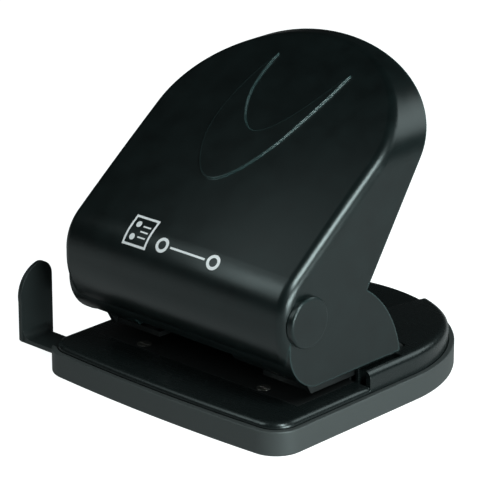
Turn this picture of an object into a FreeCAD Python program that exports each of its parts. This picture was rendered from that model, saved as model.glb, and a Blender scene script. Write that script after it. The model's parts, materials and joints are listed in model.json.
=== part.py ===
"""Two-hole desk punch: a wedge-shaped handle that drives two steel pins through a die plate.

Sizes are in millimetres. +X is right, +Y is back, +Z is up. The paper goes in at the front (-Y),
and the origin is on the table under the middle of the base.
"""
import FreeCAD, Part
import math
import os

V = FreeCAD.Vector
X, Y, Z = V(1, 0, 0), V(0, 1, 0), V(0, 0, 1)

# ---- chip tray, the outline that the whole base follows
tray_width = 120.0
tray_front = 67.9          # from the origin to the middle of the bowed front edge
tray_rear = 66.9
tray_height = 9.4
tray_wall = 2.0
tray_floor = 1.6
front_corner_r = 11.4
rear_corner_spread = 2.0   # each rear corner is centred this far from the middle plane
front_bow_r = 720.0        # the front edge is a slow curve
rear_bow_extra = 6.0       # the rear bow is this much flatter than the rear corners
tray_foot_r = 0.8
tray_rim_r = 0.5

# ---- base cover
cover_gap = 0.3            # between the cover and the inside of the tray wall
cover_wall = 2.2
cover_foot_gap = 0.3       # between the cover's lower edge and the tray floor
table_height = 11.6        # the paper lies here
plateau_rise = 6.0         # the two shoulders stand this far above the table
plateau_level_to = 12.0    # behind this the shoulders fall away in a long arc
plateau_fall_r = 400.0
table_edge_r = 2.1
plateau_edge_r = 3.0
well_rear = 13.6           # the sunk middle that holds the frame ends here
well_play = 0.6            # beside each frame side
well_corner_r = 2.0
recess_half_width = 21.0   # the rear recess between the two raised shoulders
catch_places = (-24.0, 30.0)   # where the tray's two pairs of catches hold the cover, front to back
catch_length = 10.0
catch_thickness = 1.2
catch_below_rim = 2.0

# ---- paper, pins and throat
hole_spacing = 80.0
hole_to_paper_edge = 12.0
paper_stop = -15.0         # the face that the sheet's edge meets
throat = 2.6
pin_r = 3.0
pin_length_above_guide = 12.7
pin_head_overhang = 1.6
pin_head_thickness = 2.5
pin_rest_gap = 0.2         # the tips stay this far above the throat
running_gap = 0.05         # radial play of every turning or sliding round fit
face_gap = 0.3             # between faces of two bodies that face each other
pin_notch = 0.7            # depth of the vee that makes each pin's two cutting points

# ---- steel frame
plate = 2.0
frame_to_skirt = 2.6       # from a frame side to the inside of the handle's skirt
die_front = -45.0
die_rear = 13.0
guide_front = -37.0
guide_height = 14.9        # from the underside of the lower web to the top of the upper one
guide_upper_setback = 1.5
guide_relief = 7.0         # depth of the cut-out between the two pins
guide_land = 22.0          # width of the guide beside the cut-out
foot_front = -2.0
foot_rear = 12.0
foot_length = 11.0
eye_r = 8.0                # of the frame side round the shaft
screw_r = 1.5
screw_head_r = 2.9
screw_head = 1.8
screw_slot = 0.6
front_screw_x = 30.0
front_screw_y = -41.0
boss_wall = 1.6
boss_length = 5.0
die_window_inset = 10.0    # the chips fall through a window this far inside the die plate's front edge
die_window_to_foot = 2.0
cheek_back = (7.0, -2.0)   # a corner of the cheek's back edge, from the pins and from the pivot's height
cheek_trim = 1.0           # the cheek's outline stays this far inside its eye
screw_head_round = 0.6
screw_cross = 3.2          # length and depth of the cross in a pan head
screw_cross_depth = 0.9
die_slot = 4.4             # length and depth of the slot in a countersunk head
die_slot_depth = 0.8
frame_screw_back = 1.0     # from the middle of a foot
turned_chamfer = 0.5       # on the shaft, the press bar and the pin heads

# ---- lever
lever_arm = 20.0           # from the pivot to the press bar
head_gap = 0.3             # between the press bar and the pin heads
stroke_angle = 11.5        # degrees from rest to fully pressed
shaft_r = 3.0
press_bar_r = 3.0
bracket_gap = 0.7          # between the bracket's cheeks and the frame sides
bracket_plate = 1.6
bracket_eye_r = 6.2
bracket_window = 36.0
clip_thickness = 0.8
clip_groove = 0.5
clip_reach = 1.8           # from the shaft or pin to the clip's outer edge
clip_mouth = 1.5           # width of a clip's mouth, in inner radii
clip_stop_gap = 0.1        # between a pin's clip and the upper web
web_border = 7.0           # between the web's window and its edges
cheek_under_bar = 5.2      # the bracket's cheek runs this far under and behind the press bar
cheek_corner = (2.0, -1.5, 3.0)   # its three corner offsets there

# ---- handle shell: its side view is measured from the pivot as (y, z)
handle_side_inset = 5.0    # from the side of the tray to the side of the handle
shell_wall = 2.4
nose_front = -11.0
nose_r = 18.0
face_low = (-1.0, 18.5)    # three points on the face's slow curve
face_mid = (31.0, 43.1)
face_top = (79.0, 77.5)
face_crown = 3.6           # the face stands this much prouder in the middle than at its sides
crown_sections = 7
crown_at_middle = 0.75     # the crown's share at the middle of the face
crown_at_nose = 0.8
front_overrun = 20.0       # the form runs on past the top and the sides, and the side and front views trim it
side_overrun = 6.0
rim_depth = 3.0            # the rim's depth at the top of the arch
arch_spring = 44.9         # the height above the pivot where the arch starts
arch_height = 30.4
side_edge_r = 4.4
panel_straight = -0.5      # the front panel is upright above this, and tucks under below it
panel_tuck = (-6.5, -16.0)
toe_bend = (-1.9, -22.4)
skirt_toe = 5.0
skirt_heel = 51.0
skirt_waist = (32.5, 2.5)
skirt_bulge = (46.6, -12.9)
skirt_lift = 2.0           # from a shoulder's top to the skirt's lower edge
panel_lift = 3.8           # from the skirt's lower edge to the panel's lower edge
panel_notch = 2.6          # the panel's lower edge is cut up by this in the middle
panel_notch_half = 24.0
slot_gap = 0.55            # between a skirt and the slot it dips into
crescent_rise = 0.8        # the crescent on the face stands this proud
crescent_start = (-6.0, 15.5)   # the place that its outline is measured from, behind and above the pivot
crescent_outside = (       # (x, distance up the face), from the left horn's tip to the right one's
    (-15.6, 87.0), (-19.2, 75.0), (-21.2, 60.0), (-18.0, 41.0), (-4.6, 27.6), (8.8, 41.0), (15.4, 60.0),
    (18.4, 73.0), (20.4, 85.6))
crescent_inside = (
    (-15.6, 87.0), (-15.6, 74.0), (-11.4, 60.5), (-1.0, 51.6), (9.0, 60.5), (15.4, 74.0), (20.4, 85.6))
boss_r = 3.6
pivot_boss_wall = 3.0
boss_root = 0.1            # a boss runs this far into the wall that it grows from
web_from_face = 6.4
web_low = 7.0              # behind the pivot
web_high = 41.0
web_screw_x = 30.0
web_screw_inset = 6.0
screw_tip_gap = 0.3

# ---- pivot caps
cap_r = 9.4
cap_thickness = 2.5
cap_edge_r = 0.9
cap_spigot_r = 7.0
cap_spigot = 1.0
plug_proud = 0.3           # the plug in the left side stands this proud
plug_edge_r = 0.2
shaft_end_gap = 0.4        # between the shaft's end and the cap

# ---- paper guide
guide_inner_face = -74.0    # half the 148 mm of the smallest sheet
guide_plate = 1.7
guide_strip_z = 5.7
guide_strip_inset = 6.9     # from the tray's front edge to the strip
guide_strip_width = 12.2
guide_strip_end = 34.0
guide_stop_overhang = 0.6   # the upright plate stands this far in front of the strip
guide_stop_width = 15.9
guide_stop_height = 29.8    # above the strip's underside
guide_stop_front_r = 14.0
guide_stop_rear_r = 6.0
guide_foot_r = 1.2
guide_fillet_r = 3.4
guide_gap = 0.25
guide_crest = (0.8, 1.15)  # how full the plate's front corner is, along and up
guide_mouth_depth = 4.0
rail_ends = (-44.0, 40.0)
rail_thickness = 1.4
rail_width = 3.2
rail_side = 1.0            # thickness of the side walls that the strip runs between
notch_count = 4
notch_pitch = 21.5
notch_r = 0.9
notch_depth = 0.4
notch_half_length = 3.0
notch_from_end = 8.0
spring_strip = 0.4
spring_half_length = 9.0
spring_half_width = 2.6
spring_foot = 3.0

# ---- return springs
wire_r = 0.45
spring_play = 0.9           # from the pin to the middle of the wire
spring_turns = 5.0

# ---- places worked out from the sizes above
rear_corner_r = tray_width / 2 - rear_corner_spread
rear_bow_r = rear_corner_r + rear_bow_extra
handle_half_width = tray_width / 2 - handle_side_inset
skirt_inner = handle_half_width - shell_wall
frame_half_width = skirt_inner - frame_to_skirt
bracket_half_width = frame_half_width - plate - bracket_gap
shaft_half_length = handle_half_width - cap_spigot - shaft_end_gap
plateau_height = table_height + plateau_rise
cover_inset = tray_wall + cover_gap
cover_bottom = tray_floor + cover_foot_gap
table_under = table_height - cover_wall
screw_foot = table_under - boss_length
pin_head_r = pin_r + pin_head_overhang
spring_r = pin_r + spring_play
pin_x = hole_spacing / 2
pin_y = paper_stop - hole_to_paper_edge
throat_top = table_height + throat
pin_tip = throat_top + pin_rest_gap
guide_top = throat_top + guide_height
head_under = guide_top + pin_length_above_guide
head_top = head_under + pin_head_thickness
half_stroke = math.radians(stroke_angle / 2)
bar_z = head_top + head_gap + press_bar_r
pivot_height = bar_z - lever_arm * math.sin(half_stroke)
pivot_y = pin_y - lever_arm
bar_y = pivot_y + lever_arm * math.cos(half_stroke)
skirt_bottom = plateau_height + skirt_lift
panel_bottom = skirt_bottom + panel_lift
arch_centre_z = pivot_height + arch_spring
guide_strip_front = -tray_front + guide_strip_inset
guide_strip_rear = guide_strip_front + guide_strip_width
guide_stop_front = guide_strip_front - guide_stop_overhang
guide_stop_rear = guide_stop_front + guide_stop_width
guide_strip_top = guide_strip_z + guide_plate
guide_middle = (guide_strip_front + guide_strip_rear) / 2
rail_low = guide_strip_z - guide_gap - rail_thickness
first_notch_x = guide_strip_end - notch_from_end


def box(x0, x1, y0, y1, z0, z1):
    """A block between two corners."""
    return Part.makeBox(x1 - x0, y1 - y0, z1 - z0, V(x0, y0, z0))


def rod(radius, start, end):
    """A round bar from one point to another."""
    return Part.makeCylinder(radius, (end - start).Length, start, end - start)


def prism(points, direction):
    """A closed outline of straight lines, pushed along a direction."""
    wire = Part.makePolygon(points + [points[0]])
    return Part.Face(wire).extrude(direction)


def arc(start, through, end):
    return Part.Arc(start, through, end).toShape()


def line(start, end):
    return Part.LineSegment(start, end).toShape()


def mirrored(shape):
    """The same piece on the other side of the middle plane."""
    return shape.mirror(V(0, 0, 0), X)


def lying(y, z, x=0.0):
    """A point of an outline drawn on the side of the object."""
    return V(x, y, z)


def from_pivot(place):
    """The (y, z) of a point that is given from the pivot."""
    return pivot_y + place[0], pivot_height + place[1]


def circle_through(first, second, third):
    """Centre (y, z) and radius of the circle through three points (y, z)."""
    (ay, az), (by, bz), (cy, cz) = first, second, third
    twice = 2 * (ay * (bz - cz) + by * (cz - az) + cy * (az - bz))
    a2, b2, c2 = ay ** 2 + az ** 2, by ** 2 + bz ** 2, cy ** 2 + cz ** 2
    y = (a2 * (bz - cz) + b2 * (cz - az) + c2 * (az - bz)) / twice
    z = (a2 * (cy - by) + b2 * (ay - cy) + c2 * (by - ay)) / twice
    return y, z, math.hypot(ay - y, az - z)


def edges_where(shape, test):
    return [edge for edge in shape.Edges if test(edge)]


def level_edges(shape, height):
    """The edges that lie in one level plane."""
    box_of = [(edge, edge.BoundBox) for edge in shape.Edges]
    return [e for e, b in box_of if abs(b.ZMin - height) < 0.01 and abs(b.ZMax - height) < 0.01]


def base_outline(inset, height):
    """The base's outline: bowed front, round front corners and a nearly half-round rear."""
    half = tray_width / 2
    fx = half - front_corner_r
    bow_y = -tray_front + front_bow_r
    fy = bow_y - math.sqrt((front_bow_r - front_corner_r) ** 2 - fx ** 2)
    rx = half - rear_corner_r
    rear_y = tray_rear - rear_bow_r
    ry = rear_y + math.sqrt((rear_bow_r - rear_corner_r) ** 2 - rx ** 2)

    def on(cx, cy, radius, angle):
        return V(cx + (radius - inset) * math.cos(angle), cy + (radius - inset) * math.sin(angle), height)

    front_turn = math.atan2(fy - bow_y, fx)
    rear_turn = math.atan2(ry - rear_y, rx)
    front_left = on(0, bow_y, front_bow_r, -math.pi - front_turn)
    front_right = on(0, bow_y, front_bow_r, front_turn)
    corner = on(fx, fy, front_corner_r, 0)
    shoulder = on(rx, ry, rear_corner_r, 0)
    rear_right = on(0, rear_y, rear_bow_r, rear_turn)
    flip = lambda p: V(-p.x, p.y, p.z)
    mid_front = on(fx, fy, front_corner_r, front_turn / 2)
    mid_rear = on(rx, ry, rear_corner_r, rear_turn / 2)
    return Part.Wire([
        arc(front_left, on(0, bow_y, front_bow_r, -math.pi / 2), front_right),
        arc(front_right, mid_front, corner),
        line(corner, shoulder),
        arc(shoulder, mid_rear, rear_right),
        arc(rear_right, on(0, rear_y, rear_bow_r, math.pi / 2), flip(rear_right)),
        arc(flip(rear_right), flip(mid_rear), flip(shoulder)),
        line(flip(shoulder), flip(corner)),
        arc(flip(corner), flip(mid_front), front_left),
    ])


def base_prism(inset, low, high):
    return Part.Face(base_outline(inset, low)).extrude(V(0, 0, high - low))


def chip_tray():
    tray = base_prism(0, 0, tray_height)
    tray = tray.makeFillet(tray_foot_r, level_edges(tray, 0))
    tray = tray.makeFillet(tray_rim_r, level_edges(tray, tray_height))
    tray = tray.cut(base_prism(tray_wall, tray_floor, tray_height + 1))
    inner = cover_inset + cover_wall + cover_gap
    inside = base_prism(inner, tray_floor - 1, tray_height)
    side_x = tray_width / 2 - inner
    for side in (-1, 1):
        for y in catch_places:
            catch = box(side * side_x - catch_thickness, side * side_x + catch_thickness,
                        y - catch_length / 2, y + catch_length / 2, tray_floor, tray_height - catch_below_rim)
            tray = tray.fuse(catch.common(inside))
    notch = box(-tray_width, -tray_width / 4, guide_strip_front - 2 * guide_gap,
                guide_strip_rear + 2 * guide_gap, guide_strip_z - 2 * guide_gap, tray_height + 1)
    inside_wall = base_prism(tray_wall + 0.01, 0, tray_height + 2)
    return tray.cut(notch.cut(inside_wall)).removeSplitter()


def well_prism(low, high, grow=0.0):
    """The sunk middle of the cover, between the raised shoulders."""
    half = frame_half_width + well_play + grow
    well = box(-half, half, -2 * tray_front, well_rear + grow, low, high)
    corners = edges_where(well, lambda e: e.BoundBox.ZLength > high - low - 0.01 and e.BoundBox.YMax > 0)
    well = well.makeFillet(well_corner_r, corners)
    recess = box(-recess_half_width - grow, recess_half_width + grow, 0, tray_rear + 10, low, high)
    return well.fuse(recess)


def falling_top():
    """The space under the shoulders' top, which is level in front and falls away behind in a long arc."""
    rear = tray_rear + 10
    drop = plateau_fall_r - math.sqrt(plateau_fall_r ** 2 - (rear - plateau_level_to) ** 2)
    half_y = (rear + plateau_level_to) / 2
    half_drop = plateau_fall_r - math.sqrt(plateau_fall_r ** 2 - (half_y - plateau_level_to) ** 2)
    x = -tray_width
    front = V(x, -2 * tray_front, plateau_height)
    level_end = V(x, plateau_level_to, plateau_height)
    end = V(x, rear, plateau_height - drop)
    outline = Part.Wire([
        line(front, level_end), arc(level_end, V(x, half_y, plateau_height - half_drop), end),
        line(end, V(x, rear, -1)), line(V(x, rear, -1), V(x, front.y, -1)), line(V(x, front.y, -1), front)])
    return Part.Face(outline).extrude(X * 2 * tray_width)


def top_edges(shape):
    """The outer edges of the shoulders' top face."""
    lowest = plateau_height - plateau_rise
    return edges_where(shape, lambda e: e.BoundBox.ZMin > lowest and e.BoundBox.ZLength < plateau_rise
                       and not (e.BoundBox.YLength < 0.01 and e.BoundBox.XLength > tray_width / 2))


def cover_blank():
    """The outer form: low paper table in front, two raised shoulders behind it."""
    blank = base_prism(cover_inset, cover_bottom, plateau_height + 1).common(falling_top())
    blank = blank.makeFillet(plateau_edge_r, top_edges(blank))
    front = box(-tray_width, tray_width, -2 * tray_front, paper_stop, table_height, plateau_height + 1)
    blank = blank.cut(front)
    blank = blank.cut(well_prism(table_height, plateau_height + 1))
    rim = edges_where(blank, lambda e: abs(e.BoundBox.ZMin - table_height) < 0.01
                      and e.BoundBox.ZLength < 0.01 and e.BoundBox.YMax < paper_stop + 0.1
                      and e.BoundBox.YLength > 0.5)
    return blank.makeFillet(table_edge_r, rim)


def base_cover():
    cover = cover_blank()
    inner = cover_inset + cover_wall
    hollow = base_prism(inner, cover_bottom - 1, table_under)
    lowered = falling_top()
    lowered.translate(Z * -cover_wall)
    upper = base_prism(inner, table_under - 1, plateau_height).common(lowered)
    behind = box(-tray_width, tray_width, paper_stop + cover_wall, tray_rear, 0, plateau_height)
    upper = upper.common(behind).cut(well_prism(0, plateau_height + 1, cover_wall))
    cover = cover.cut(hollow).cut(upper)

    ledge_half = frame_half_width + cover_wall
    cover = cover.fuse(box(-ledge_half, ledge_half, die_front - cover_wall, die_rear + cover_wall,
                           table_under - cover_wall, table_under))
    for x, y in frame_screw_places() + die_screw_places():
        cover = cover.fuse(rod(screw_r + boss_wall, V(x, y, screw_foot), V(x, y, table_under)))
    window_x = frame_half_width - die_window_inset / 2
    cover = cover.cut(box(-window_x, window_x, die_front + die_window_inset, foot_front - die_window_to_foot,
                          0, plateau_height))
    cover = cover.cut(box(-frame_half_width, frame_half_width, die_front, die_rear,
                          table_height - plate, table_height + 1))
    for x, y in frame_screw_places() + die_screw_places():
        cover = cover.cut(rod(screw_r, V(x, y, screw_foot), V(x, y, table_height)))
    return cut_guide_way(cut_skirt_slots(cover)).removeSplitter()


def cut_skirt_slots(cover):
    """The slots that the handle's skirts dip into when it is pressed."""
    for side in (-1, 1):
        x0, x1 = sorted((side * (skirt_inner - slot_gap), side * (handle_half_width + slot_gap)))
        cover = cover.cut(box(x0, x1, paper_stop - 0.01, pivot_y + skirt_heel + slot_gap,
                              table_under - cover_wall, plateau_height + 1))
    return cover


def cut_guide_way(cover):
    """The mouth that the paper guide's strip comes out of, and the rails that carry it."""
    left, right = rail_ends
    inside = base_prism(cover_inset + cover_wall / 2, 0, table_height)
    under = guide_strip_z - guide_gap
    over = guide_strip_top + guide_gap
    front, rear = guide_strip_front - guide_gap, guide_strip_rear + guide_gap
    rails = [box(left, right, front - rail_side, front + rail_width - rail_side, rail_low, under),
             box(left, right, rear + rail_side - rail_width, rear + rail_side, rail_low, under),
             box(left, right, rear, rear + rail_side, rail_low, table_under),
             box(left, right, front, front + rail_side, over, table_under),
             box(left, right, rear - rail_side, rear, over, table_under)]
    for rail in rails:
        cover = cover.fuse(rail.common(inside))
    return cover.cut(box(-tray_width, left + guide_mouth_depth, front, rear, under, over))


def frame_screw_places():
    """Two screws hold each side of the frame by its foot."""
    x = frame_half_width - plate - foot_length / 2
    y = (foot_front + foot_rear) / 2 + frame_screw_back
    return [(-x, y), (x, y)]


def die_screw_places():
    return [(-front_screw_x, front_screw_y), (front_screw_x, front_screw_y)]


def pin_places():
    return [-pin_x, pin_x]


def die_plate():
    die = box(-frame_half_width, frame_half_width, die_front, die_rear, table_height - plate, table_height)
    for x in pin_places():
        die = die.cut(rod(pin_r + running_gap, V(x, pin_y, 0), V(x, pin_y, plateau_height)))
    for x, y in frame_screw_places():
        die = die.cut(rod(screw_r, V(x, y, 0), V(x, y, plateau_height)))
    for x, y in die_screw_places():
        die = die.cut(rod(screw_r, V(x, y, 0), V(x, y, plateau_height)))
        die = die.cut(countersink(x, y))
    return die


def countersink(x, y):
    depth = screw_head_r - screw_r
    return Part.makeCone(screw_r, screw_head_r, depth, V(x, y, table_height - depth), Z)


def frame_side():
    """One cheek of the frame, with the throat open to the front and a foot bent inwards."""
    outer = frame_half_width
    stop_back = paper_stop + plate
    outline = [(stop_back, table_height), (foot_rear, table_height), (foot_rear, table_height + 3 * plate),
               (pin_y + cheek_back[0], pivot_height + cheek_back[1]),
               (pivot_y + eye_r / 2, pivot_height + eye_r - cheek_trim), (pivot_y, pivot_height),
               (pivot_y - eye_r + 1.2 * cheek_trim, pivot_height - eye_r / 2),
               (guide_front - cheek_trim, throat_top), (stop_back, throat_top)]
    cheek = prism([lying(y, z, outer - plate) for y, z in outline], X * plate)
    eye_inner = lying(pivot_y, pivot_height, outer - plate)
    cheek = cheek.fuse(rod(eye_r, eye_inner, eye_inner + X * plate))
    foot_tip = outer - plate - foot_length
    foot = box(foot_tip, outer - plate, foot_front, foot_rear, table_height, table_height + plate)
    cheek = cheek.fuse(foot)
    cheek = cheek.cut(rod(shaft_r, lying(pivot_y, pivot_height, 0), lying(pivot_y, pivot_height, outer + 1)))
    x, y = frame_screw_places()[1]
    return cheek.cut(rod(screw_r, V(x, y, 0), V(x, y, plateau_height))).removeSplitter()


def pin_guide():
    """A channel on its side: two webs guide the pins, and its back is the paper stop."""
    half = frame_half_width - plate
    lower = box(-half, half, guide_front, paper_stop, throat_top, throat_top + plate)
    upper = box(-half, half, guide_front + guide_upper_setback, paper_stop, guide_top - plate, guide_top)
    back = box(-half, half, paper_stop, paper_stop + plate, table_height, guide_top)
    guide = lower.fuse([upper, back])
    for x in pin_places():
        guide = guide.cut(rod(pin_r + running_gap, V(x, pin_y, throat_top - 1), V(x, pin_y, guide_top + 1)))
    relief_half = half - guide_land
    relief_rear = guide_front + guide_relief
    relief = box(-relief_half, relief_half, guide_front - 1, relief_rear, throat_top - 1, guide_top + 1)
    return guide.cut(relief).removeSplitter()


def pivot_shaft():
    shaft = rod(shaft_r, lying(pivot_y, pivot_height, -shaft_half_length),
                lying(pivot_y, pivot_height, shaft_half_length))
    shaft = shaft.makeChamfer(turned_chamfer, shaft.Edges[0:1] + shaft.Edges[2:3])
    for x in shaft_clip_places():
        low = lying(pivot_y, pivot_height, x)
        ring = rod(shaft_r + 1, low, low + X * clip_thickness)
        core = rod(shaft_r - clip_groove, low, low + X * clip_thickness)
        shaft = shaft.cut(ring.cut(core))
    return shaft


def shaft_clip_places():
    """The low X face of each clip, just inside the bracket's cheeks."""
    inner = bracket_half_width - bracket_plate - face_gap
    return [-inner, inner - clip_thickness]


def e_clip(inner_r, outer_r, centre, axis, opening):
    """A spring clip: a flat ring with a mouth on one side."""
    ring = Part.makeCylinder(outer_r, clip_thickness, centre, axis)
    ring = ring.cut(Part.makeCylinder(inner_r, clip_thickness, centre, axis))
    mouth = Part.makeBox(clip_mouth * inner_r, outer_r + 1, clip_thickness)
    mouth.translate(V(-clip_mouth * inner_r / 2, 0, 0))
    turn = FreeCAD.Rotation(axis.cross(opening) * -1, opening, axis, "ZXY")
    mouth.Placement = FreeCAD.Placement(centre, turn).multiply(mouth.Placement)
    return ring.cut(mouth)


def shaft_clips():
    return [e_clip(shaft_r - clip_groove, shaft_r + clip_reach, lying(pivot_y, pivot_height, x), X, Y * -1)
            for x in shaft_clip_places()]


def pan_screw(foot, head_seat):
    """A pan-head screw from the end of its thread to the seat of its head."""
    axis = (head_seat - foot).normalize()
    shank = rod(screw_r, foot, head_seat)
    head = Part.makeCylinder(screw_head_r, screw_head, head_seat, axis)
    top = [e for e in head.Edges if e.BoundBox.Center.sub(head_seat + axis * screw_head).Length < 0.01]
    head = head.makeFillet(screw_head_round, top)
    side = axis.cross(X) if abs(axis.x) < 0.9 else axis.cross(Y)
    centre = head_seat + axis * screw_head
    screw = shank.fuse(head)
    for a, b in ((side, axis.cross(side)), (axis.cross(side), side)):
        slot = Part.makeBox(screw_cross, screw_slot, 2 * screw_cross_depth,
                            V(-screw_cross / 2, -screw_slot / 2, -screw_cross_depth))
        slot.Placement = FreeCAD.Placement(centre, FreeCAD.Rotation(a, b, axis, "ZXY"))
        screw = screw.cut(slot)
    return screw


def frame_screws():
    return [pan_screw(V(x, y, screw_foot), V(x, y, table_height + plate))
            for x, y in frame_screw_places()]


def die_plate_screws():
    screws = []
    for x, y in die_screw_places():
        shank = rod(screw_r, V(x, y, screw_foot), V(x, y, table_height - screw_slot / 2))
        slot = box(x - die_slot / 2, x + die_slot / 2, y - screw_slot / 2, y + screw_slot / 2,
                   table_height - die_slot_depth, table_height)
        screws.append(shank.fuse(countersink(x, y)).cut(slot))
    return screws


def punch_pin(x):
    """A pin with a forged head above and two cutting points below."""
    pin = rod(pin_r, V(x, pin_y, pin_tip), V(x, pin_y, head_under))
    head = rod(pin_head_r, V(x, pin_y, head_under), V(x, pin_y, head_top))
    head = head.makeChamfer(turned_chamfer, level_edges(head, head_top))
    side, reach = x - pin_r - 1, pin_r + 1
    vee = prism([V(side, pin_y, pin_tip + pin_notch), V(side, pin_y - reach, pin_tip - 1),
                 V(side, pin_y + reach, pin_tip - 1)], X * (2 * reach))
    low = V(x, pin_y, clip_z())
    groove = rod(pin_r + 1, low, low + Z * clip_thickness)
    groove = groove.cut(rod(pin_r - clip_groove, low, low + Z * clip_thickness))
    return pin.fuse(head).cut(vee).cut(groove)


def clip_z():
    """The low face of the clip that stops a pin against the upper web."""
    return guide_top - plate - clip_stop_gap - clip_thickness


def pin_clip(x):
    return e_clip(pin_r - clip_groove, pin_r + clip_reach, V(x, pin_y, clip_z()), Z, Y * -1)


def return_spring(x):
    """An open coil between the guide and the pin's head."""
    length = head_under - guide_top
    pitch = (length - 2 * wire_r) / spring_turns
    coil = Part.makeHelix(pitch, length - 2 * wire_r, spring_r)
    profile = Part.Wire([Part.Circle(V(spring_r, 0, 0), V(0, 1, 0), wire_r).toShape()])
    spring = Part.Wire(coil).makePipeShell([profile], True, True)
    spring.translate(V(x, pin_y, guide_top + wire_r))
    return spring


def web_line():
    """The bracket's web: its low and high top edges as (y, z), parallel to the chord of the face."""
    low, high = face_point(pivot_y + web_low), face_point(pivot_y + web_high)
    slope = math.atan2(high[1] - low[1], high[0] - low[0])
    down = (math.sin(slope), -math.cos(slope))
    drop = web_from_face
    return ((low[0] + drop * down[0], low[1] + drop * down[1]),
            (high[0] + drop * down[0], high[1] + drop * down[1]), slope)


def face_circle(crown=0.0):
    """Centre (y, z) and radius of the face's slow curve, which the crown lifts along the face's normal."""
    low, mid, top = from_pivot(face_low), from_pivot(face_mid), from_pivot(face_top)
    chord = math.hypot(top[0] - low[0], top[1] - low[1])
    normal = ((low[1] - top[1]) / chord, (top[0] - low[0]) / chord)
    lift = crown_at_middle * crown
    low = (low[0] + crown * normal[0], low[1] + crown * normal[1])
    mid = (mid[0] + lift * normal[0], mid[1] + lift * normal[1])
    return circle_through(low, mid, top)


def face_point(y):
    cy, cz, radius = face_circle()
    return y, cz + math.sqrt(radius ** 2 - (y - cy) ** 2)


def web_frame():
    """The web's low edge, the direction up the web and the direction out of it."""
    low, high, slope = web_line()
    up = V(0, math.cos(slope), math.sin(slope))
    out = V(0, -math.sin(slope), math.cos(slope))
    length = math.hypot(high[0] - low[0], high[1] - low[1])
    return lying(*low), up, out, length


def web_screw_points():
    """Where the lever screws cross the web's top face."""
    start, up, out, length = web_frame()
    return [start + up * s + X * x for s in (web_screw_inset, length - web_screw_inset)
            for x in (-web_screw_x, web_screw_x)]


def lever_bracket():
    """Two cheeks on the shaft, joined by a web that is screwed under the face."""
    start, up, out, length = web_frame()
    half = bracket_half_width
    web = Part.makeBox(2 * half, length, bracket_plate)
    turn = FreeCAD.Rotation(X, up, out, "ZXY")
    web.Placement = FreeCAD.Placement(start - X * half - out * bracket_plate, turn)
    bar = lying(bar_y, bar_z)
    pivot = lying(pivot_y, pivot_height)
    low_edge = start - out * bracket_plate
    high_edge = low_edge + up * length
    low_corner = bracket_eye_r * math.sqrt(0.5)
    outline = [pivot + V(0, -bracket_eye_r, 0), pivot + V(0, -low_corner, -low_corner),
               pivot + V(0, 0, -bracket_eye_r), bar + V(0, cheek_corner[0], -cheek_under_bar),
               bar + V(0, cheek_under_bar, cheek_corner[1]), high_edge - up * cheek_corner[2],
               high_edge + out * bracket_plate,
               low_edge + out * bracket_plate, low_edge]
    bracket = web
    for x in (-half, half - bracket_plate):
        cheek = prism([point + X * x for point in outline], X * bracket_plate)
        bracket = bracket.fuse(cheek)
    bracket = bracket.cut(rod(shaft_r + running_gap, pivot - X * (half + 1), pivot + X * (half + 1)))
    bracket = bracket.cut(rod(press_bar_r, bar - X * (half + 1), bar + X * (half + 1)))
    for point in web_screw_points():
        bracket = bracket.cut(rod(screw_r, point - out * 2 * bracket_plate, point + out))
    window = Part.makeBox(bracket_window, length - 2 * web_border, 4 * bracket_plate)
    corner = start - X * bracket_window / 2 + up * web_border - out * 2 * bracket_plate
    window.Placement = FreeCAD.Placement(corner, turn)
    return bracket.cut(window).removeSplitter()


def press_bar():
    bar = rod(press_bar_r, lying(bar_y, bar_z, -bracket_half_width), lying(bar_y, bar_z, bracket_half_width))
    return bar.makeChamfer(turned_chamfer, bar.Edges[0:1] + bar.Edges[2:3])


def lever_screws():
    start, up, out, length = web_frame()
    return [pan_screw(point + out * (web_from_face - shell_wall - screw_tip_gap), point - out * bracket_plate)
            for point in web_screw_points()]


def front_section(x, inset):
    """The handle's front at one distance from the middle: face, nose and the panel that tucks under."""
    crown = face_crown * (1 - (x / handle_half_width) ** 2)
    cy, cz, radius = face_circle(crown)
    front = pivot_y + nose_front - crown_at_nose * crown
    corner_y = front + nose_r
    nose = lying(corner_y, cz + math.sqrt((radius - nose_r) ** 2 - (corner_y - cy) ** 2), x)
    turn = V(0, corner_y - cy, nose.z - cz).normalize()
    half_way = (turn - Y).normalize()
    tuck_y, tuck_z = from_pivot(panel_tuck)
    straight_z = pivot_height + panel_straight
    dy, dz = tuck_y - front, straight_z - tuck_z
    tuck_r = (dy ** 2 + dz ** 2) / (2 * dy)
    whole = math.asin(dz / tuck_r)

    def on_face(y):
        return lying(y, cz + math.sqrt((radius - inset) ** 2 - (y - cy) ** 2), x)

    def on_tuck(angle):
        reach = tuck_r - inset
        return lying(front + tuck_r - reach * math.cos(angle), straight_z - reach * math.sin(angle), x)

    nose_end = nose + turn * (nose_r - inset)
    nose_start = nose - Y * (nose_r - inset)
    far_top = on_face(pivot_y + face_top[0] + front_overrun)
    far = V(x, 3 * tray_width, far_top.z)
    low_end = on_tuck(whole)
    return Part.Wire([
        arc(far_top, on_face(pivot_y + face_mid[0]), nose_end),
        arc(nose_end, nose + half_way * (nose_r - inset), nose_start),
        line(nose_start, on_tuck(0)), arc(on_tuck(0), on_tuck(whole / 2), low_end),
        line(low_end, V(x, low_end.y, -10)), line(V(x, low_end.y, -10), V(x, far.y, -10)),
        line(V(x, far.y, -10), far), line(far, far_top)])


def crowned_front(inset):
    """Everything behind the handle's crowned front, which is lofted through sections across its width."""
    reach = handle_half_width + side_overrun
    steps = crown_sections - 1
    sections = [front_section(reach * (2 * i / steps - 1), inset) for i in range(crown_sections)]
    return Part.makeLoft(sections, True, False)


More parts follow.
